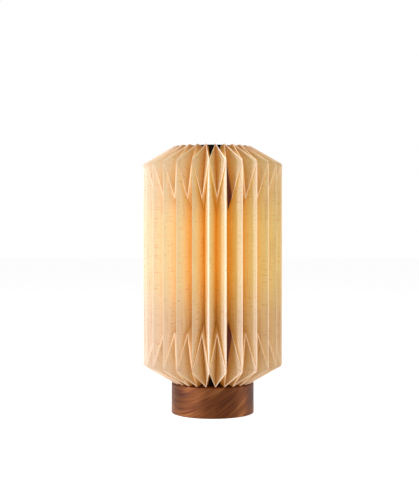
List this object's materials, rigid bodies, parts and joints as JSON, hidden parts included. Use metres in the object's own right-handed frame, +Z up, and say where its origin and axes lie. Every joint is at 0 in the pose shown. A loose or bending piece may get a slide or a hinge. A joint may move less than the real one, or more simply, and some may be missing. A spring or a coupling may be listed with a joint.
{
  "type": "pleated paper table lamp",
  "caption": "Table lamp with a tall pleated paper shade whose folded shoulders turn in to black collars, standing over a screw-in bulb on a turned wooden drum.",
  "frame": {"origin": "centre of the pad's underside, where the lamp stands", "axes": "+Z up along the lamp's axis, -Y towards the viewer, +X to the viewer's right; the lead's inlet is at the back, on +Y"},
  "size_m": [0.1994, 0.1997, 0.381],
  "materials": {
    "shade_paper": "linen-textured lampshade paper, matte",
    "black_plastic": "matte",
    "walnut": "satin oiled walnut",
    "pad_felt": "felt",
    "black_steel": "matte powder coat",
    "zinc_steel": "satin zinc plate",
    "raw_steel": "oiled steel",
    "black_rubber": "matte",
    "white_ceramic": "glazed",
    "brass": "satin",
    "solder": "satin",
    "black_glass": "gloss",
    "nickel": "satin nickel",
    "bulb_glass": "frosted, lit",
    "clear_glass": "gloss",
    "filament": "satin"
  },
  "bodies": {
    "base": {"base_drum": "walnut", "base_pad": "pad_felt", "bottom_cover": "black_steel", "cover_screws": "zinc_steel", "cord_grommet": "black_rubber", "ballast_disc": "raw_steel", "stem_washer": "zinc_steel", "stem_nut": "zinc_steel", "shade_seat": "black_steel", "stem_sleeve": "black_steel", "lock_washer": "zinc_steel", "stem_tube": "zinc_steel", "lampholder_cap": "black_plastic", "lampholder_grub_screw": "zinc_steel", "lampholder_core": "white_ceramic", "terminal_screws": "brass", "lampholder_shell": "black_plastic", "lampholder_thread": "brass", "centre_contact": "brass", "side_contact": "brass"},
    "bulb_foot": {"bulb_contact": "solder", "bulb_insulator": "black_glass"},
    "bulb": {"bulb_cap": "nickel", "bulb_glass": "bulb_glass", "bulb_stem": "clear_glass", "bulb_filaments": "filament", "filament_wires": "nickel"},
    "shade": {"pleated_sheet": "shade_paper", "seam_strip": "shade_paper", "top_collar": "black_plastic", "bottom_collar": "black_plastic"}
  },
  "joints": [
    {"name": "shade_lift", "type": "slide", "parent": "base", "child": "shade", "axis": [0, 0, 1], "range_m": [0, 0.2]},
    {"name": "bulb_rise", "type": "slide", "parent": "base", "child": "bulb_foot", "axis": [0, 0, 1], "range_m": [0, 0.0146]},
    {"name": "bulb_turn", "type": "hinge", "parent": "bulb_foot", "child": "bulb", "pos_m": [0, 0, 0.15], "axis": [0, 0, 1], "range_deg": [0, 1440]}
  ],
  "couplings": [
    {"joint": "bulb_rise", "follows": "bulb_turn", "m_per_rad": 0.00057757}
  ]
}
